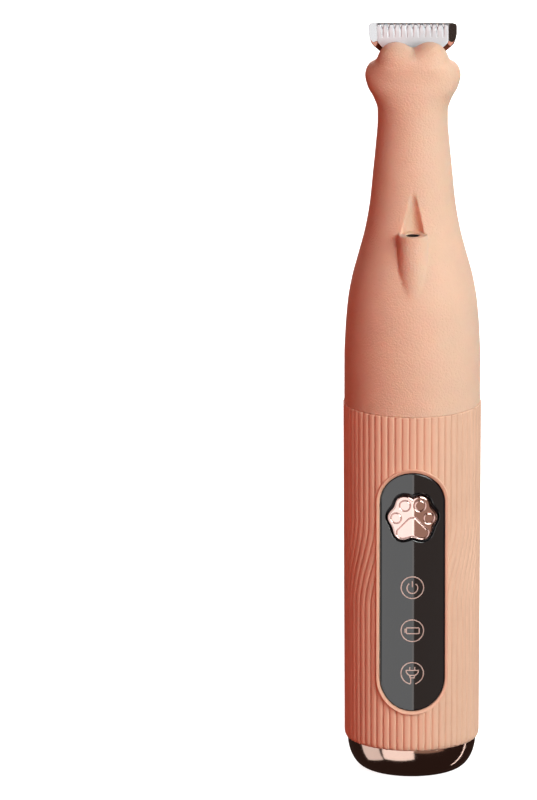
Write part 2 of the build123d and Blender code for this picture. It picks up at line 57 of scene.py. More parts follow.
# ---- places taken from the CAD frame, in millimetres -----------------------
SHELL_LOW, SHELL_HIGH = box_mm("head_housing")
SLEEVE_LOW, SLEEVE_HIGH = box_mm("grip_sleeve")
CAP_LOW, CAP_HIGH = box_mm("end_cap")
LENS_LOW, LENS_HIGH = box_mm("panel_lens")
BUTTON_LOW, BUTTON_HIGH = box_mm("paw_button")
CUTTER_LOW, CUTTER_HIGH = box_mm("moving_blade")
COMB_LOW, COMB_HIGH = box_mm("fixed_blade")
CARRIER_LOW, CARRIER_HIGH = box_mm("blade_carrier")
LIGHT_LOW, LIGHT_HIGH = box_mm("spot_led")

SEAM_Z = SHELL_LOW[2]
SEAT_Z = 149.5
BODY_R = 14.0
WALL = 1.5
SPIGOT_R = 12.3
LENS_R = 14.1
LENS_BACK_R = 12.9
LENS_MID_Z = (LENS_LOW[2] + LENS_HIGH[2]) / 2
LENS_HALF_X = (LENS_HIGH[0] - LENS_LOW[0]) / 2
LENS_HALF_Z = (LENS_HIGH[2] - LENS_LOW[2]) / 2
LIP_WIDTH = 0.75
LIP_R = 14.4
BUTTON_Z = 56.6
BUTTON_R = 14.62
BUTTON_GAP = 0.35
ICON_Z = (41.7, 32.5, 23.4)
LEDGE_Z = 115.6
BEZEL_TOP = 115.35
LIGHT_Y = (LIGHT_LOW[1] + LIGHT_HIGH[1]) / 2

# Upper shell: height, half width and half depth of its cross-sections.
SHELL_SECTIONS = [
    (60.0, 14.0, 14.0),
    (87.0, 14.0, 14.0),
    (93.0, 13.78, 13.78),
    (99.2, 13.28, 13.25),
    (104.3, 12.4, 12.3),
    (109.4, 11.05, 10.9),
    (114.5, 9.75, 9.55),
    (120.0, 8.8, 8.6),
    (126.0, 8.2, 7.95),
    (132.0, 7.62, 7.4),
    (137.5, 7.22, 7.1),
    (139.8, 7.25, 7.05),
    (142.2, 8.0, 7.0),
    (144.8, 9.35, 6.95),
    (147.0, 9.8, 6.8),
    (148.4, 9.5, 6.8),
    (149.4, 8.8, 6.8),
    (150.3, 7.4, 6.7),
    (151.3, 6.4, 6.6),
    (152.4, 5.7, 6.4),
    (154.5, 5.0, 6.0),
]
TOE_X = 3.45
TOE_Y = -2.4
TOE_Z = 150.7
TOE_R = 3.68
TOE_DEPTH = 3.4
HOOD_Y = -9.6
HOOD_R = 3.1
SCOOP_TOP = 123.9
SCOOP_R = 2.25


# ---- numeric helpers -------------------------------------------------------
def smooth_curve(knots, values):
    """Monotone cubic through the points, as a function of an array."""
    knots = np.asarray(knots, float)
    values = np.asarray(values, float)
    steps = np.diff(knots)
    slopes = np.diff(values) / steps
    tangents = np.zeros(len(knots))
    same = slopes[:-1] * slopes[1:] > 0
    weight_a = 2 * steps[1:] + steps[:-1]
    weight_b = steps[1:] + 2 * steps[:-1]
    safe_a = np.where(slopes[:-1] == 0, 1, slopes[:-1])
    safe_b = np.where(slopes[1:] == 0, 1, slopes[1:])
    mean = (weight_a + weight_b) / (weight_a / safe_a + weight_b / safe_b)
    tangents[1:-1] = np.where(same, mean, 0)
    tangents[-1] = slopes[-1]

    def curve(at):
        at = np.clip(at, knots[0], knots[-1])
        index = np.clip(np.searchsorted(knots, at) - 1, 0, len(steps) - 1)
        span = steps[index]
        t = (at - knots[index]) / span
        start = (1 + 2 * t) * (1 - t) ** 2 * values[index] + t * (1 - t) ** 2 * span * tangents[index]
        end = t * t * (3 - 2 * t) * values[index + 1] + t * t * (t - 1) * span * tangents[index + 1]
        return start + end

    return curve


def blend_min(a, b, radius):
    """Union of two distance fields with a fillet."""
    h = np.maximum(radius - np.abs(a - b), 0) / radius
    return np.minimum(a, b) - h * h * radius / 4


def blend_max(a, b, radius):
    """Intersection of two distance fields with a rounded edge."""
    return -blend_min(-a, -b, radius)


def box_field(x, y, z, low, high):
    """Distance to a box; None leaves a side open."""
    field = np.full(np.shape(x), -1e3)
    for value, start, end in zip((x, y, z), low, high):
        if start is not None:
            field = np.maximum(field, start - value)
        if end is not None:
            field = np.maximum(field, value - end)
    return field


def slot_field(x, z, half_x, half_z, middle_z):
    """Distance to an upright slot with round ends."""
    along = np.maximum(np.abs(z - middle_z) - (half_z - half_x), 0)
    return np.hypot(x, along) - half_x


def polygon_field(x, z, corners):
    """Distance to a polygon in the X-Z plane, negative inside."""
    points = np.asarray(corners, float)
    nearest = np.full(np.shape(x), 1e9)
    inside = np.zeros(np.shape(x), bool)
    for (ax, az), (bx, bz) in zip(points, np.roll(points, -1, axis=0)):
        ex, ez = bx - ax, bz - az
        t = np.clip(((x - ax) * ex + (z - az) * ez) / (ex * ex + ez * ez), 0, 1)
        nearest = np.minimum(nearest, np.hypot(x - ax - t * ex, z - az - t * ez))
        crosses = (az > z) != (bz > z)
        edge_x = ax + (z - az) * ex / (ez if ez else 1e-12)
        inside ^= crosses & (x < edge_x)
    return np.where(inside, -nearest, nearest)


def gradient(field, points):
    """Central differences of a field at some points."""
    reach = 0.01
    result = np.empty_like(points)
    for axis in range(3):
        shift = np.zeros(3)
        shift[axis] = reach
        ahead = field(*(points + shift).T)
        behind = field(*(points - shift).T)
        result[:, axis] = (ahead - behind) / (2 * reach)
    return result


def surface_of(field, low, high, step):
    """Quad mesh of a field's zero surface: points, quads and unit normals."""
    axes = [np.arange(a - 1.5 * step, b + 2.5 * step, step) for a, b in zip(low, high)]
    start = np.array([axis[0] for axis in axes])
    values = field(*np.meshgrid(*axes, indexing="ij"))
    values[:, :, [0, -1]] = np.maximum(values[:, :, [0, -1]], 0.1 * step)
    shape = np.array(values.shape)
    cells = shape - 1
    total = np.zeros((int(np.prod(cells)), 3))
    count = np.zeros(int(np.prod(cells)))
    quads = []
    for axis in range(3):
        lower = np.take(values, range(shape[axis] - 1), axis=axis)
        upper = np.take(values, range(1, shape[axis]), axis=axis)
        at = np.argwhere((lower < 0) != (upper < 0))
        first = lower[tuple(at.T)]
        second = upper[tuple(at.T)]
        place = at.astype(float)
        place[:, axis] += first / (first - second)
        side_a, side_b = [k for k in range(3) if k != axis]
        corners = []
        for back_a, back_b in ((0, 0), (1, 0), (1, 1), (0, 1)):
            cell = at.copy()
            cell[:, side_a] -= back_a
            cell[:, side_b] -= back_b
            flat = np.ravel_multi_index(tuple(cell.T), tuple(cells), mode="clip")
            for k in range(3):
                total[:, k] += np.bincount(flat, place[:, k], len(count))
            count += np.bincount(flat, minlength=len(count))
            corners.append(flat)
        quad = np.stack(corners, axis=1)
        turned = (first < 0) == (axis == 1)
        quad[turned] = quad[turned][:, ::-1]
        quads.append(quad)
    quads = np.concatenate(quads)
    used, compact = np.unique(quads, return_inverse=True)
    points = start + total[used] / count[used][:, None] * step
    for _ in range(4):
        slope = gradient(field, points)
        size = np.maximum((slope**2).sum(axis=1), 0.05)
        move = -slope * (field(*points.T) / size)[:, None]
        points += np.clip(move, -0.4 * step, 0.4 * step)
    slope = gradient(field, points)
    normals = slope / np.maximum(np.linalg.norm(slope, axis=1), 1e-9)[:, None]
    return points, compact.reshape(-1, 4), normals


# ---- mesh helpers ----------------------------------------------------------
def new_piece(name, points, faces, material, normals=None, smooth=True):
    """Mesh object from millimetre points."""
    mesh = bpy.data.meshes.new(name)
    mesh.from_pydata((np.asarray(points) * MM).tolist(), [], [list(map(int, f)) for f in faces])
    mesh.polygons.foreach_set("use_smooth", [smooth] * len(mesh.polygons))
    if normals is not None:
        mesh.normals_split_custom_set_from_vertices(np.asarray(normals).tolist())
    mesh.materials.append(material)
    piece = bpy.data.objects.new(name, mesh)
    bpy.context.scene.collection.objects.link(piece)
    return piece


def stand_for(piece, node):
    """The piece replaces a CAD node and rides on that node's body."""
    body = next(b for b, nodes in frame["record"]["behaviour"]["bodies"].items() if node in nodes)
    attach(piece, body)
    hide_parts(node)


def field_piece(name, field, node, material, step, low=None, high=None):
    """Piece made from a distance field that replaces one CAD node."""
    box_low, box_high = box_mm(node)
    points, quads, normals = surface_of(
        field,
        box_low if low is None else low,
        box_high if high is None else high,
        step,
    )
    piece = new_piece(name, points, quads, material, normals)
    stand_for(piece, node)
    return piece


# ---- materials -------------------------------------------------------------
def node_material(name):
    material = bpy.data.materials.new(name)
    material.use_nodes = True
    nodes = material.node_tree.nodes
    shader = nodes["Principled BSDF"]
    return material, nodes, material.node_tree.links, shader


def noise(nodes, links, scale, detail=3.0, stretch=(1, 1, 1)):
    """Noise texture in object space; scale is in features per metre."""
    coords = nodes.new("ShaderNodeTexCoord")
    mapping = nodes.new("ShaderNodeMapping")
    mapping.inputs["Scale"].default_value = stretch
    texture = nodes.new("ShaderNodeTexNoise")
    texture.inputs["Scale"].default_value = scale
    texture.inputs["Detail"].default_value = detail
    links.new(coords.outputs["Object"], mapping.inputs["Vector"])
    links.new(mapping.outputs["Vector"], texture.inputs["Vector"])
    return texture.outputs["Fac"]


def ramp(nodes, links, source, low, high, at=(0.3, 0.7)):
    """Colour ramp between two colours."""
    block = nodes.new("ShaderNodeValToRGB")
    block.color_ramp.elements[0].position = at[0]
    block.color_ramp.elements[1].position = at[1]
    block.color_ramp.elements[0].color = (*low, 1)
    block.color_ramp.elements[1].color = (*high, 1)
    links.new(source, block.inputs["Fac"])
    return block.outputs["Color"]


def span(nodes, links, source, low, high):
    """Number between low and high that follows the source."""
    block = nodes.new("ShaderNodeMapRange")
    block.inputs["To Min"].default_value = low
    block.inputs["To Max"].default_value = high
    links.new(source, block.inputs["Value"])
    return block.outputs["Result"]


def bump(nodes, links, shader, source, distance, strength=1.0):
    block = nodes.new("ShaderNodeBump")
    block.inputs["Distance"].default_value = distance
    block.inputs["Strength"].default_value = strength
    links.new(source, block.inputs["Height"])
    links.new(block.outputs["Normal"], shader.inputs["Normal"])


def tinted(colour, factor):
    return tuple(min(1.0, channel * factor) for channel in colour)


def surface(name, colour, roughness, metallic=0.0, vary=0.05, scale=600.0, grain=None, stretch=(1, 1, 1)):
    """General material: colour and roughness wander a little, with an optional grain."""
    material, nodes, links, shader = node_material(name)
    wander = noise(nodes, links, scale, 3.0, stretch)
    colour_out = ramp(nodes, links, wander, tinted(colour, 1 - vary), tinted(colour, 1 + vary))
    links.new(colour_out, shader.inputs["Base Color"])
    rough_out = span(nodes, links, wander, roughness * 0.88, roughness * 1.12)
    links.new(rough_out, shader.inputs["Roughness"])
    shader.inputs["Metallic"].default_value = metallic
    if grain:
        grain_scale, grain_depth = grain
        fine = noise(nodes, links, grain_scale, 4.0, stretch)
        bump(nodes, links, shader, fine, grain_depth)
    return material, shader


PEACH = (0.73, 0.48, 0.345)
# The sleeve is the shell's peach plastic. Its colour here is painted darker and redder, as painted shade on the
# ribbed sleeve.
SLEEVE_SHADED_PEACH = (0.70, 0.43, 0.30)
ROSE = (0.65, 0.46, 0.42)


def soft_touch(name, colour, grain_scale, grain_depth, scatter):
    """Peach soft-touch coating: matte and finely grained, translucent where scatter is given."""
    material, shader = surface(name, colour, 0.62, vary=0.02, scale=260, grain=(grain_scale, grain_depth))
    shader.inputs["IOR"].default_value = 1.42
    shader.inputs["Subsurface Weight"].default_value = 0.3 if scatter else 0.0
    shader.inputs["Subsurface Radius"].default_value = (1.0, 0.25, 0.14)
    shader.inputs["Subsurface Scale"].default_value = scatter
    shader.inputs["Sheen Weight"].default_value = 0.1
    shader.inputs["Sheen Roughness"].default_value = 0.4
    shader.inputs["Sheen Tint"].default_value = (0.95, 0.95, 1.0, 1)
    return material


def rose_plating(name, tint=ROSE, roughness=0.06):
    material, shader = surface(name, tint, roughness, metallic=1.0, vary=0.015, scale=400, grain=(9000, 0.0000006))
    return material


def black_gloss():
    material, shader = surface("panel_black", (0.002, 0.004, 0.006), 0.05, vary=0.1, scale=300)
    shader.inputs["IOR"].default_value = 1.65
    return material


def dark_lens():
    """Smoked lens of the work light."""
    shader = surface("light_lens", (0.02, 0.018, 0.016), 0.3, vary=0.1, scale=900)[1]
    shader.inputs["IOR"].default_value = 1.5
    return bpy.data.materials["light_lens"]


MATERIALS = {
    "led": dark_lens(),
    "shell": soft_touch("soft_touch_shell", PEACH, 2800.0, 0.0002, 0.0025),
    # The sleeve's base colour carries painted shade: it is the shell's peach, darkened and reddened.
    "sleeve": soft_touch("soft_touch_sleeve", SLEEVE_SHADED_PEACH, 5200.0, 0.00001, 0.0),
    "cap": rose_plating("rose_plating_cap", (0.51, 0.36, 0.30), 0.11),
    "button": rose_plating("rose_plating_button"),
    "carrier": rose_plating("rose_plating_carrier", (0.33, 0.15, 0.11)),
    "lens": black_gloss(),
    "icon": surface("icon_foil", (0.56, 0.42, 0.37), 0.35, metallic=0.3, vary=0.06, scale=2500)[0],
    "ceramic": surface("zirconia", (0.62, 0.67, 0.71), 0.35, vary=0.02, scale=1500, grain=(7000, 0.000004))[0],
    "steel": surface(
        "ground_steel", (0.44, 0.44, 0.45), 0.12, metallic=1.0, vary=0.03, scale=2500, stretch=(1, 1, 12)
    )[0],
}


# ---- upper shell -----------------------------------------------------------
heights, half_widths, half_depths = zip(*SHELL_SECTIONS)
half_width_at = smooth_curve(heights, half_widths)
half_depth_at = smooth_curve(heights, half_depths)


def bottle_field(x, y, z, inset=0.0):
    """The shell's outer form from the seam to the side toes."""
    wide = half_width_at(z) - inset
    deep = half_depth_at(z) - inset
    return (np.sqrt((x / wide) ** 2 + (y / deep) ** 2) - 1) * np.minimum(wide, deep)


def toe_field(x, y, z):
    """The two front toes, long in Y so that the front stays one smooth face."""
    fields = []
    for side in (-1, 1):
        deep = (y - TOE_Y) * TOE_R / TOE_DEPTH
        stretch = np.sqrt((x - side * TOE_X) ** 2 + deep**2 + (z - TOE_Z) ** 2)
        fields.append(stretch - TOE_R)
    return blend_min(fields[0], fields[1], 1.2)


def scoop_field(x, y, z, grow=0.0):
    """Tapered scoop above the work light."""
    part = np.clip((z - LEDGE_Z) / (SCOOP_TOP - LEDGE_Z), 0, 1.2)
    radius = SCOOP_R + (0.4 - SCOOP_R) * part
    axis_y = -half_depth_at(z) - 0.4 * part**3
    return np.hypot(x, y - axis_y) - radius - grow


def outer_field(x, y, z):
    """Outside of the upper shell with paw head, hood and scoop."""
    crown = blend_max(bottle_field(x, y, z), z - 152.3, 2.4)
    solid = blend_min(crown, toe_field(x, y, z), 2.2)
    # The hood ends above in a flat ledge, which stays crisp.
    hood = np.maximum(np.hypot(x, y - HOOD_Y) - HOOD_R, np.maximum(95.0 - z, z - LEDGE_Z))
    solid = blend_min(solid, hood, 0.05 + 0.2 * np.clip((LEDGE_Z - z) / 1.0, 0, 1))
    scoop = np.maximum(scoop_field(x, y, z), LEDGE_Z - z)
    solid = blend_max(solid, -scoop, 0.4)
    # Below the seam the edge tucks in behind the ribs.
    return np.maximum(solid, np.hypot(x, y) - BODY_R + np.maximum(SEAM_Z + 0.12 - z, 0) * 0.9)


def cavity_field(x, y, z):
    """Everything hollow inside the upper shell."""
    cavity = np.maximum(bottle_field(x, y, z, WALL), z - 141.0)
    cavity = np.minimum(cavity, np.maximum(np.hypot(x, y) - SPIGOT_R, z - 87.0))
    cavity = np.maximum(cavity, -scoop_field(x, y, z, 1.0))
    hood_fill = np.maximum(np.hypot(x, y - HOOD_Y) - 2.4, 107.0 - z)
    cavity = np.maximum(cavity, -hood_fill)
    cavity = np.minimum(cavity, box_field(x, y, z, (-4.2, 0.3, 138.2), (4.2, 5.1, None)))
    cavity = np.minimum(cavity, box_field(x, y, z, (-3.2, -1.7, 138.2), (3.2, 5.1, SEAT_Z - 0.8)))
    light_bore = np.maximum(np.hypot(x, y - LIGHT_Y) - 1.45, np.maximum(104.0 - z, z - LEDGE_Z - 1.0))
    return np.minimum(cavity, light_bore)


def shell_field(x, y, z):
    behind = box_field(x, y, z, (None, 0.3, SEAT_Z), (None, None, None))
    solid = blend_max(outer_field(x, y, z), -behind, 0.3)
    solid = blend_max(solid, -cavity_field(x, y, z), 0.15)
    return np.maximum(solid, SEAM_Z - 0.3 - z)


def make_shell():
    low = (-BODY_R, -BODY_R, SEAM_Z - 0.3)
    high = (BODY_R, BODY_R, SHELL_HIGH[2])
    step = 0.28
    field_piece("upper_shell", shell_field, "head_housing", MATERIALS["shell"], step, low, high)


# ---- ribbed sleeve ---------------------------------------------------------
RIB_COUNT = 58
RIB_DEPTH = 0.28
RIB_TWIST = math.radians(17.0)
TWIST_Z = (36.0, 55.0)
COLUMNS_PER_RIB = 10


def rib_turn(z):
    part = np.clip((TWIST_Z[1] - z) / (TWIST_Z[1] - TWIST_Z[0]), 0, 1)
    return -RIB_TWIST * part * part * (3 - 2 * part)


def sleeve_rows():
    """Heights of the mesh rows with the crest radius and rib depth at each."""
    foot = SLEEVE_LOW[2]
    rows = []
    for degrees in (0, 22, 45, 68, 90):
        angle = math.radians(degrees)
        rows.append((foot + 1.3 * (1 - math.cos(angle)), 13.35 + 0.52 * math.sin(angle), 0.2 + degrees / 600))
    top = SEAM_Z - 0.15
    for z in np.arange(8.3, TWIST_Z[0], 1.5):
        rows.append((z, None, RIB_DEPTH))
    for z in np.arange(TWIST_Z[0], TWIST_Z[1], 0.5):
        rows.append((z, None, RIB_DEPTH))
    for z in np.arange(TWIST_Z[1], top, 1.5):
        rows.append((z, None, RIB_DEPTH))
    rows.append((top, None, RIB_DEPTH))
    rows.append((SEAM_Z, 14.08, RIB_DEPTH))
    return rows


def sleeve_points():
    columns = RIB_COUNT * COLUMNS_PER_RIB
    phase = np.arange(columns) / COLUMNS_PER_RIB
    across = np.abs(2 * (phase % 1) - 1)
    angles = phase * 2 * math.pi / RIB_COUNT
    rings = []
    for z, crest, depth in sleeve_rows():
        if crest is None:
            crest = 13.87 + 0.33 * (z - 7.8) / (SEAM_Z - 7.8)
        radius = crest - depth * across**3.5
        turn = angles + rib_turn(z)
        rings.append(np.stack([radius * np.cos(turn), radius * np.sin(turn), np.full(columns, z)], axis=1))
    for z in (SEAM_Z, SLEEVE_LOW[2]):
        turn = angles + rib_turn(z)
        rings.append(
            np.stack([SPIGOT_R * np.cos(turn), SPIGOT_R * np.sin(turn), np.full(columns, z)], axis=1)
        )
    return np.concatenate(rings), len(rings), columns


def grid_faces(rows, columns, close_rows):
    """Quads of a tube of rings, optionally joined end to end."""
    faces = []
    for row in range(rows if close_rows else rows - 1):
        here = row * columns + np.arange(columns)
        above = (row + 1) % rows * columns + np.arange(columns)
        faces.append(np.stack([here, np.roll(here, -1), np.roll(above, -1), above], axis=1))
    return np.concatenate(faces)


def slot_outline(half_x, half_z, middle_z, arc_points, side_points):
    """Points and outward normals round an upright slot."""
    straight = half_z - half_x
    places = []
    for end in (1, -1):
        for angle in np.linspace(0, math.pi, arc_points, endpoint=False):
            turn = angle if end > 0 else angle + math.pi
            normal = (math.cos(turn), math.sin(turn))
            places.append((normal[0] * half_x, middle_z + end * straight + normal[1] * half_x, *normal))
        side = -1 if end > 0 else 1
        for part in np.linspace(0, 1, side_points, endpoint=False):
            places.append((side * half_x, middle_z + end * straight * (1 - 2 * part), side, 0.0))
    return np.array(places)


def wrap(x, z, radius):
    """Point on the front of a cylinder about Z."""
    return np.stack([x, -np.sqrt(radius**2 - x**2), z], axis=-1)


def lip_mesh():
    """Raised frame round the panel, as a closed ring."""
    half_x, half_z = LENS_HALF_X + 0.1, LENS_HALF_Z + 0.1
    outline = slot_outline(half_x, half_z, LENS_MID_Z, 40, 36)
    # The top slopes down towards the panel.
    profile = [(0.0, 12.4), (0.0, 14.02), (0.05, 14.09), (0.2, 14.17), (0.4, 14.28), (0.56, LIP_R - 0.03)]
    profile += [(0.64, LIP_R - 0.005), (0.71, 14.36), (0.75, 14.2), (0.75, 12.4)]
    rings = []
    for offset, radius in profile:
        x = outline[:, 0] + outline[:, 2] * offset
        z = outline[:, 1] + outline[:, 3] * offset
        rings.append(wrap(x, z, radius))
    return np.concatenate(rings), grid_faces(len(rings), len(outline), True)


def slot_block():
    """Prism that opens the sleeve under the lip."""
    outline = slot_outline(LENS_HALF_X + 0.45, LENS_HALF_Z + 0.45, LENS_MID_Z, 40, 2)
    count = len(outline)
    points = [[x, y, z] for y in (-20.0, -5.0) for x, z, _, _ in outline]
    sides = grid_faces(2, count, False)
    ends = [list(range(count))[::-1], [count + k for k in range(count)]]
    return points, [list(f) for f in sides] + ends


def outward(piece):
    """Make the piece's faces point outward."""
    import bmesh

    mesh = bmesh.new()
    mesh.from_mesh(piece.data)
    bmesh.ops.recalc_face_normals(mesh, faces=mesh.faces)
    mesh.to_mesh(piece.data)
    mesh.free()


def boolean(piece, other, operation):
    """Apply a boolean with another object, which is then removed."""
    step = piece.modifiers.new("cut", "BOOLEAN")
    step.operation = operation
    step.object = other
    step.solver = "MANIFOLD"
    done = bpy.data.meshes.new_from_object(piece.evaluated_get(bpy.context.evaluated_depsgraph_get()))
    piece.modifiers.clear()
    piece.data = done
    bpy.data.objects.remove(other)


def make_sleeve():
    points, rows, columns = sleeve_points()
    sleeve = new_piece("ribbed_sleeve", points, grid_faces(rows, columns, True), MATERIALS["sleeve"])
    outward(sleeve)
    cutter = new_piece("slot_cutter", *slot_block(), MATERIALS["sleeve"])
    outward(cutter)
    boolean(sleeve, cutter, "DIFFERENCE")
    lip = new_piece("lip_ring", *lip_mesh(), MATERIALS["sleeve"])
    outward(lip)
    boolean(sleeve, lip, "UNION")
    sleeve.data.polygons.foreach_set("use_smooth", [True] * len(sleeve.data.polygons))
    sleeve.data.set_sharp_from_angle(angle=math.radians(50))
    stand_for(sleeve, "grip_sleeve")


# ---- end cap ---------------------------------------------------------------
def cap_field(x, y, z):
    radius = np.hypot(x, y)
    shoulder = 6.5
    side = np.maximum(radius - 9.2, 0) / 4.0
    down = np.maximum(shoulder - z, 0) / shoulder
    curve = (np.hypot(side, down) - 1) * 4.0
    outer = np.maximum(np.maximum(curve, radius - 13.2), -z)
    outer = np.maximum(outer, np.where(z > shoulder, radius - 12.2, -50))
    outer = np.maximum(outer, z - CAP_HIGH[2])
    inner_side = np.maximum(radius - 8.8, 0) / 2.4
    inner_down = np.maximum(shoulder - z, 0) / 4.7
    hollow = (np.hypot(inner_side, inner_down) - 1) * 2.4
    hollow = np.maximum(hollow, radius - 11.2)
    port = np.hypot(np.maximum(np.abs(x) - 2.85, 0), y) - 1.8
    mouth = port - np.maximum(0.5 - z, 0) * 0.6
    solid = np.maximum(outer, -hollow)
    return blend_max(solid, -mouth, 0.15)


def make_cap():
    field_piece("end_cap_plated", cap_field, "end_cap", MATERIALS["cap"], 0.3)


# ---- control panel ---------------------------------------------------------
def paw_field(x, z):
    """Distance to the button's six-lobed outline in the X-Z plane."""
    x = np.abs(x)
    z = z - BUTTON_Z
    field = np.hypot(x, z + 0.2) - 3.75
    for centre_x, centre_z, radius in ((1.6, 2.75, 2.0), (3.4, -0.1, 1.75), (2.05, -2.95, 1.85)):
        field = blend_min(field, np.hypot(x - centre_x, z - centre_z) - radius, 1.5)
    return field


def lens_field(x, y, z):
    radius = np.hypot(x, y)
    edge = slot_field(x, z, LENS_HALF_X, LENS_HALF_Z, LENS_MID_Z)
    edge = np.maximum(edge, BUTTON_GAP - paw_field(x, z))
    plate = blend_max(edge, radius - LENS_R, 0.25)
    return np.maximum(plate, np.maximum(LENS_BACK_R - radius, y))


def pad_field(x, z):
    """The large pad: a rounded triangle with a dip in its base."""
    z = z - BUTTON_Z
    triangle = polygon_field(x, z, [(0.0, -1.0), (2.1, -3.2), (-2.1, -3.2)]) - 1.15
    return blend_max(triangle, 2.4 - np.hypot(x, z + 6.35), 0.5)


def engraving(x, z):
    """Distance to the engraved lines."""
    line = np.abs(pad_field(x, z))
    for centre_x, centre_z, radius in ((1.52, 2.64, 1.12), (3.35, -0.06, 1.07)):
        ring = np.hypot(np.abs(x) - centre_x, z - BUTTON_Z - centre_z) - radius
        line = np.minimum(line, np.abs(ring))
    return line


def button_field(x, y, z):
    radius = np.hypot(x, y)
    groove = 0.14 * np.exp(-((engraving(x, z) / 0.1) ** 2))
    front = radius - (BUTTON_R - groove)
    body = blend_max(front, paw_field(x, z), 0.55)
    return np.maximum(body, np.maximum(12.75 - radius, y))


def make_panel():
    field_piece("panel_glass", lens_field, "panel_lens", MATERIALS["lens"], 0.22)
    step = 0.09
    field_piece("paw_key", button_field, "paw_button", MATERIALS["button"], step)


def finer(line, closed, step=0.25):
    """The same line with points no further apart than the step."""
    line = np.asarray(line, float)
    ends = np.roll(line, -1, axis=0) if closed else line[1:]
    pieces = []
    for start, end in zip(line, ends):
        count = max(1, int(math.ceil(np.linalg.norm(end - start) / step)))
        pieces.append(start + (end - start) * np.arange(count)[:, None] / count)
    if not closed:
        pieces.append(line[-1:])
    return np.concatenate(pieces)


def ribbon(line, width, closed):
    """Flat raised stroke along an X-Z line on the lens: points and faces."""
    line = finer(line, closed)
    ahead = np.roll(line, -1, axis=0) - line
    behind = line - np.roll(line, 1, axis=0)
    if not closed:
        ahead[-1] = behind[-1]
        behind[0] = ahead[0]
    ahead /= np.linalg.norm(ahead, axis=1)[:, None]
    behind /= np.linalg.norm(behind, axis=1)[:, None]
    along = ahead + behind
    along /= np.linalg.norm(along, axis=1)[:, None]
    side = np.stack([-along[:, 1], along[:, 0]], axis=1)
    stretch = 1 / np.maximum((along * ahead).sum(axis=1), 0.5)
    rings = []
    for across, radius in ((-1, LENS_R - 0.02), (-0.85, LENS_R + 0.035), (0.85, LENS_R + 0.035), (1, LENS_R - 0.02)):
        edge = line + side * (stretch * across * width / 2)[:, None]
        rings.append(wrap(edge[:, 0], edge[:, 1], radius))
    points = np.stack(rings, axis=1).reshape(-1, 3)
    count = len(line)
    faces = []
    for k in range(count if closed else count - 1):
        here, there = 4 * k, 4 * ((k + 1) % count)
        faces += [[here + j, there + j, there + (j + 1) % 4, here + (j + 1) % 4] for j in range(4)]
    if not closed:
        faces += [[3, 2, 1, 0], [4 * count - 4, 4 * count - 3, 4 * count - 2, 4 * count - 1]]
    return points, faces


def arc(radius, start, end, count, centre=(0.0, 0.0)):
    angles = np.radians(np.linspace(start, end, count))
    return np.stack([centre[0] + radius * np.cos(angles), centre[1] + radius * np.sin(angles)], axis=1)


def icon_strokes():
    """Every stroke of the three symbols as (line, closed)."""
    ring_r, gap = 2.31, 8.0
    full_ring = arc(ring_r, 0, 360, 73)[:-1]
    strokes = [(full_ring + (0, ICON_Z[0]), True), (full_ring + (0, ICON_Z[1]), True)]
    strokes.append((arc(ring_r, -82 + gap, 261, 70) + (0, ICON_Z[2]), False))
    # Power sign.
    strokes.append((arc(1.12, 125, 415, 40) + (0, ICON_Z[0] - 0.1), False))
    strokes.append((np.array([(0, 0.15), (0, 1.45)]) + (0, ICON_Z[0]), False))
    # Battery outline with its contact on the left.
    case = [(-1.1, -0.62), (1.3, -0.62), (1.42, -0.5), (1.42, 0.5), (1.3, 0.62), (-1.1, 0.62), (-1.22, 0.5)]
    case += [(-1.22, -0.5)]
    contact = [(-1.22, 0.3), (-1.5, 0.3), (-1.5, -0.3), (-1.22, -0.3)]
    strokes.append((np.array(case[::-1]) + (0, ICON_Z[1]), True))
    strokes.append((np.array(contact) + (0, ICON_Z[1]), False))
    # Plug: prongs, cup, collar and lead.
    cup = [(-1.25, 0.62), (1.25, 0.62), (1.22, 0.2), (0.95, -0.2), (0.55, -0.45), (-0.55, -0.45)]
    cup += [(-0.95, -0.2), (-1.22, 0.2)]
    strokes.append((np.array(cup) + (0, ICON_Z[2]), True))
    for side in (-1, 1):
        strokes.append((np.array([(side * 0.5, 0.7), (side * 0.5, 1.35)]) + (0, ICON_Z[2]), False))
    collar = [(-0.5, -0.5), (-0.42, -0.95), (0.42, -0.95), (0.5, -0.5)]
    strokes.append((np.array(collar) + (0, ICON_Z[2]), False))
    strokes.append((np.array([(-0.3, -1.0), (-0.3, -2.2)]) + (0, ICON_Z[2]), False))
    return strokes


def make_icons():
    points, faces = [], []
    for line, closed in icon_strokes():
        more_points, more_faces = ribbon(line, 0.23, closed)
        base = sum(len(p) for p in points)
        points.append(more_points)
        faces += [[base + k for k in face] for face in more_faces]
    icons = new_piece("panel_symbols", np.concatenate(points), faces, MATERIALS["icon"], smooth=False)
    outward(icons)
    stand_for(icons, "indicator_icons")


# ---- blade head ------------------------------------------------------------
TOOTH_PITCH = 1.25
TOOTH_GAPS = 11


def mirrored(half):
    """Outline from its right-hand half, bottom to top."""
    return half + [(-x, z) for x, z in reversed(half)]


def nearest_gap(x, pitch, count):
    """Signed distance in X to the nearest gap between teeth."""
    index = np.clip(np.round(x / pitch), -(count // 2), count // 2)
    return x - index * pitch


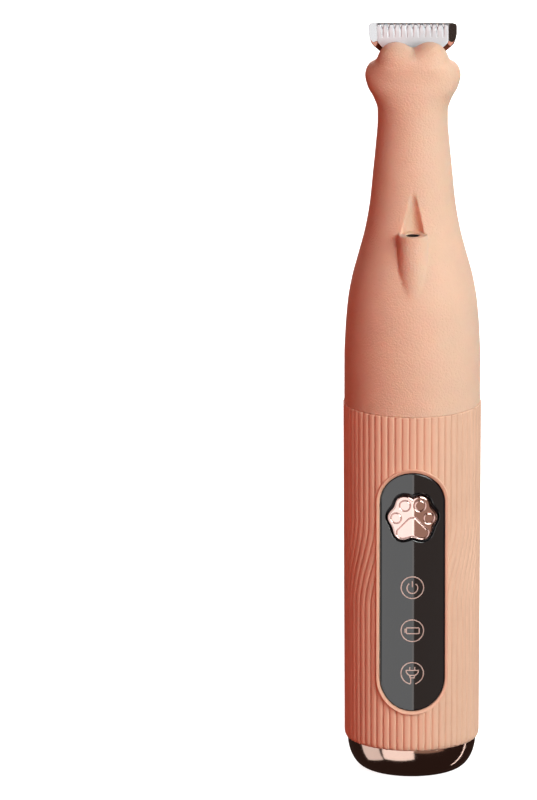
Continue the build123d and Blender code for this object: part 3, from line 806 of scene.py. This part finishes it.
def cutter_field(x, y, z):
    top = CUTTER_HIGH[2]
    half = [(2.6, CUTTER_LOW[2]), (2.6, 149.95), (4.1, 149.95), (7.2, 153.2), (7.2, top)]
    edge = polygon_field(x, z, mirrored(half))
    across = np.abs(nearest_gap(x, TOOTH_PITCH, TOOTH_GAPS))
    depth = top - z
    notch = np.maximum(across - 0.33 * (1 - depth / 0.95), depth - 0.95)
    plate = blend_max(edge, np.maximum(CUTTER_LOW[1] - y, y - CUTTER_HIGH[1]), 0.12)
    plate = blend_max(plate, -notch, 0.06)
    # Each gap runs on as a shallow groove down the front, and the front edge is ground back.
    groove_width = 0.26 - 0.05 * depth
    groove = np.maximum(across - groove_width, (y - CUTTER_LOW[1]) - 0.34 + 0.12 * depth)
    groove = np.maximum(groove, depth - 2.5)
    plate = blend_max(plate, -groove, 0.1)
    bevel = (CUTTER_LOW[1] - y) + 0.32 * (1.2 - depth)
    return blend_max(plate, bevel, 0.1)


def comb_field(x, y, z):
    half = [(4.0, 149.8), (5.9, 151.8), (7.25, 153.2), (8.5, 152.6), (8.9, 153.6), (9.05, 154.6)]
    half += [(9.05, 156.2)]
    half += [(8.95, 156.65), (8.7, 157.0), (8.2, 157.2)]
    edge = polygon_field(x, z, mirrored(half))
    across = np.abs(nearest_gap(x, 1.0, 15))
    slot = np.maximum(across - 0.15, COMB_HIGH[2] - 1.7 - z)
    slot = np.maximum(slot, COMB_LOW[1] + 0.4 - y)
    plate = blend_max(edge, np.maximum(COMB_LOW[1] - y, y - COMB_HIGH[1]), 0.15)
    # The ears lean back to the outside and to the foot; the comb's tips lean forward.
    ear = 0.15 * (np.abs(x) - 7.35) + 0.14 * (COMB_HIGH[2] - z)
    tips = 0.3 * np.clip(COMB_HIGH[2] - z, 0, 0.4)
    front = COMB_LOW[1] + np.where(np.abs(x) > 7.35, ear, tips)
    plate = blend_max(plate, front - y, 0.1)
    for side in (-1, 1):
        hole = np.hypot(x - side * 3.1, z - 152.2) - 0.72
        plate = np.maximum(plate, -hole)
    return blend_max(plate, -slot, 0.05)


def carrier_field(x, y, z):
    half = [(4.4, 149.7), (5.9, 149.9), (8.45, 152.5), (8.85, 153.6), (8.9, 155.2), (8.3, 155.8)]
    edge = polygon_field(x, z, mirrored(half))
    # Each arm bends away a little below the comb's ear.
    bend = np.maximum(114.69 - 0.69 * np.abs(x) - 0.72 * z, 0)
    front = 3.8 + np.minimum(0.5 * bend, 0.8)
    plate = blend_max(edge, np.maximum(front - y, y - CARRIER_HIGH[1]), 0.2)
    tongue = box_field(x, y, z, (-4.0, 3.2, CARRIER_LOW[2]), (4.0, 4.9, 150.2))
    seat = box_field(x, y, z, (-2.5, 2.8, 141.6), (2.5, 3.4, 143.2))
    solid = np.minimum(plate, np.minimum(tongue, seat))
    relief = np.hypot(np.maximum(np.abs(x) - 2.6, 0), z - 154.5) - 0.55
    relief = np.maximum(relief, 4.75 - y)
    solid = blend_max(solid, -relief, 0.2)
    for side in (-1, 1):
        hole = np.hypot(x - side * 3.1, z - 152.2) - 0.72
        solid = np.maximum(solid, -hole)
    return solid


def make_blades():
    fine = 0.085
    field_piece("ceramic_cutter", cutter_field, "moving_blade", MATERIALS["ceramic"], fine)
    field_piece("steel_comb", comb_field, "fixed_blade", MATERIALS["steel"], fine)
    field_piece("plated_carrier", carrier_field, "blade_carrier", MATERIALS["carrier"], 0.15)


# ---- work light ------------------------------------------------------------
def led_field(x, y, z):
    """Smoked dome in a dark bezel, just below the ledge."""
    radius = np.hypot(x, y - LIGHT_Y)
    dome = np.sqrt(radius**2 + (z - 113.4) ** 2) - 1.28
    barrel = np.maximum(radius - 1.4, z - 113.0)
    bezel = np.maximum(np.maximum(radius - 1.42, 1.2 - radius), z - BEZEL_TOP)
    body = np.minimum(np.minimum(dome, barrel), np.maximum(bezel, 112.0 - z))
    return np.maximum(body, LIGHT_LOW[2] - z)


def make_light():
    high = (LIGHT_HIGH[0], LIGHT_HIGH[1], BEZEL_TOP)
    field_piece("work_light", led_field, "spot_led", MATERIALS["led"], 0.1, LIGHT_LOW, high)


# ---- CAD pieces that stay, with finished materials -------------------------
def finish_cad_nodes():
    """Procedural material for each record slot whose CAD shape is shown."""
    slots = {row["node"]: row["material_slot"] for row in frame["record"]["subparts"]}
    record_colours = {m["slot"]: m for m in frame["record"]["materials"]}
    metals = {"brushed_steel", "chrome", "brass", "aluminium"}
    made = {}
    for node, obj in frame["nodes"].items():
        if obj.hide_render:
            continue
        slot = slots[node]
        if slot not in made:
            entry = record_colours[slot]
            metallic = 1.0 if entry["class"] in metals else 0.0
            rough = {"rubber": 0.75, "matte_plastic": 0.5, "gloss_plastic": 0.25}.get(entry["class"], 0.3)
            made[slot] = surface(
                "part_" + slot, entry["base_color"][:3], rough, metallic, vary=0.08, scale=900, grain=(4000, 0.00001)
            )[0]
        obj.data.materials.clear()
        obj.data.materials.append(made[slot])


# ---- studio ----------------------------------------------------------------
def aim(obj, target):
    direction = Vector(target) - obj.location
    obj.rotation_euler = direction.to_track_quat("-Z", "Y").to_euler()


def area_light(name, place, target, size, power, colour=(1, 1, 1), diffuse=True, glossy=True):
    data = bpy.data.lights.new(name, "AREA")
    data.shape = "RECTANGLE"
    data.size, data.size_y = size
    data.energy = power
    data.color = colour
    lamp = bpy.data.objects.new(name, data)
    bpy.context.scene.collection.objects.link(lamp)
    lamp.location = place
    aim(lamp, target)
    lamp.visible_camera = False
    lamp.visible_diffuse = diffuse
    lamp.visible_glossy = glossy
    return lamp


def around(azimuth, elevation, distance):
    """Place on a sphere about the object's middle; azimuth 0 is in front, positive to the right."""
    a, e = math.radians(azimuth), math.radians(elevation)
    direction = Vector((math.sin(a) * math.cos(e), -math.cos(a) * math.cos(e), math.sin(e)))
    return Vector(MIDDLE) + direction * distance


def card(name, azimuth, elevation, width, height, luminance, colour=(1, 1, 1)):
    """Soft box that is only seen in reflections."""
    power = luminance * math.pi * width * height
    place = around(azimuth, elevation, 1.2)
    return area_light(name, place, MIDDLE, (width, height), power, colour, diffuse=False)


def make_floor():
    """Pale floor, partly self-lit so that it stays white round the object."""
    size = 12.0
    mesh = bpy.data.meshes.new("floor")
    corners = [(-size, -size, 0), (size, -size, 0), (size, size, 0), (-size, size, 0)]
    mesh.from_pydata(corners, [], [[0, 1, 2, 3]])
    material, nodes, links, shader = node_material("floor_paint")
    wander = noise(nodes, links, 3.0, 2.0)
    links.new(ramp(nodes, links, wander, (0.50, 0.50, 0.50), (0.52, 0.52, 0.52)), shader.inputs["Base Color"])
    shader.inputs["Roughness"].default_value = 0.9
    shader.inputs["Emission Color"].default_value = (1, 1, 1, 1)
    shader.inputs["Emission Strength"].default_value = 0.9
    mesh.materials.append(material)
    floor = bpy.data.objects.new("floor", mesh)
    bpy.context.scene.collection.objects.link(floor)
    floor.visible_glossy = False
    floor.visible_diffuse = False


def make_world():
    """White to the eye, dim in reflections, and a soft fill for matte surfaces."""
    world = bpy.data.worlds.new("studio")
    bpy.context.scene.world = world
    world.use_nodes = True
    nodes, links = world.node_tree.nodes, world.node_tree.links
    nodes.clear()
    path = nodes.new("ShaderNodeLightPath")
    seen = nodes.new("ShaderNodeBackground")
    seen.inputs["Color"].default_value = (1, 1, 1, 1)
    seen.inputs["Strength"].default_value = 1.0
    fill = nodes.new("ShaderNodeBackground")
    fill.inputs["Color"].default_value = (1.0, 0.28, 0.18, 1)
    fill.inputs["Strength"].default_value = 0.10
    mirrored_room = nodes.new("ShaderNodeBackground")
    mirrored_room.inputs["Color"].default_value = (1.0, 0.60, 0.50, 1)
    mirrored_room.inputs["Strength"].default_value = 0.037
    first = nodes.new("ShaderNodeMixShader")
    second = nodes.new("ShaderNodeMixShader")
    output = nodes.new("ShaderNodeOutputWorld")
    links.new(path.outputs["Is Glossy Ray"], first.inputs["Fac"])
    links.new(fill.outputs[0], first.inputs[1])
    links.new(mirrored_room.outputs[0], first.inputs[2])
    links.new(path.outputs["Is Camera Ray"], second.inputs["Fac"])
    links.new(first.outputs[0], second.inputs[1])
    links.new(seen.outputs[0], second.inputs[2])
    links.new(second.outputs[0], output.inputs["Surface"])


MIDDLE = (0, 0, 0.09)
# Name, azimuth, elevation, distance, width, height, power, colour, seen in reflections.
LAMPS = [
    ("key", 35, 23, 1.2, 0.8, 0.8, 18.2, (0.91, 0.97, 0.95), True),
    ("side", 88, 18, 1.2, 0.5, 1.0, 4.8, (0.74, 0.88, 1.0), False),
    ("fill", -54, 0, 1.2, 0.5, 1.0, 7.2, (1.0, 0.12, 0.06), False),
    ("back", 178, 22, 1.2, 0.8, 1.0, 13.0, (1.0, 0.98, 0.95), True),
    ("back_right", 140, 15, 1.2, 0.6, 1.0, 3.0, (1, 1, 1), False),
    ("back_left", -145, 15, 1.2, 0.6, 1.0, 1.5, (1.0, 0.7, 0.6), False),
]


def make_lights():
    for name, azimuth, elevation, distance, width, height, power, colour, glossy in LAMPS:
        place = around(azimuth, elevation, distance)
        area_light(name, place, MIDDLE, (width, height), power, colour, glossy=glossy)
    card("card_left", -26, -8, 1.28, 1.7, 1.8)
    card("card_far_left", -82, -8, 0.85, 1.7, 1.3)
    card("card_right", 30, -3, 1.36, 1.0, 0.5, (0.86, 0.61, 0.49))
    card("strip_right", 114, -20, 0.05, 1.4, 4.0)


def make_camera():
    """Long lens, 15 degrees above the horizon, in front."""
    data = bpy.data.cameras.new("camera")
    camera = bpy.data.objects.new("camera", data)
    bpy.context.scene.collection.objects.link(camera)
    data.sensor_width = 36.0
    data.lens = 900.0
    elevation = math.radians(15.0)
    distance = 4.119
    target = Vector((-0.0296, 0, 0.0779))
    back = Vector((0, -math.cos(elevation), math.sin(elevation)))
    camera.location = target + back * distance
    camera.rotation_euler = (-back).to_track_quat("-Z", "Y").to_euler()
    data.clip_start, data.clip_end = 0.05, 40.0
    bpy.context.scene.camera = camera


make_camera()
make_world()
make_floor()
make_lights()
make_shell()
make_sleeve()
make_cap()
make_panel()
make_icons()
make_blades()
make_light()
finish_cad_nodes()
bpy.context.scene.view_settings.view_transform = "Standard"
